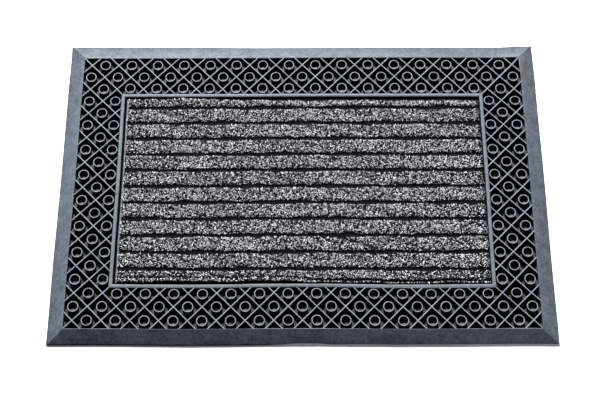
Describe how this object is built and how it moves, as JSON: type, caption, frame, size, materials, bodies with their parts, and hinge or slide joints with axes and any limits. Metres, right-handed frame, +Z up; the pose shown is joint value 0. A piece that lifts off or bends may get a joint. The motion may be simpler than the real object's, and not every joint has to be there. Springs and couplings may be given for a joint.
{
  "type": "door mat",
  "caption": "Rectangular rubber scraper mat: ramp edge, crossed ribs with hollow rings, and a rim round a recessed ribbed carpet insert.",
  "frame": {"origin": "on the underside, below the middle of the mat's outline", "axes": "+X along the long side, +Y along the short side towards the back, +Z up out of the wearing face"},
  "size_m": [0.6036, 0.3996, 0.0093],
  "materials": {
    "rubber": "moulded black rubber with a soft blue-grey sheen",
    "adhesive": "cured contact adhesive, satin",
    "backing": "matt dark textile backing",
    "pile": "matt salt-and-pepper grey fibre pile"
  },
  "bodies": {
    "root": {"rubber_base": "rubber", "adhesive_bed": "adhesive", "insert_backing": "backing", "pile_band_01": "pile", "pile_band_02": "pile", "pile_band_03": "pile", "pile_band_04": "pile", "pile_band_05": "pile", "pile_band_06": "pile", "pile_band_07": "pile", "pile_band_08": "pile", "pile_band_09": "pile", "pile_band_10": "pile", "pile_band_11": "pile", "pile_band_12": "pile"}
  },
  "joints": []
}
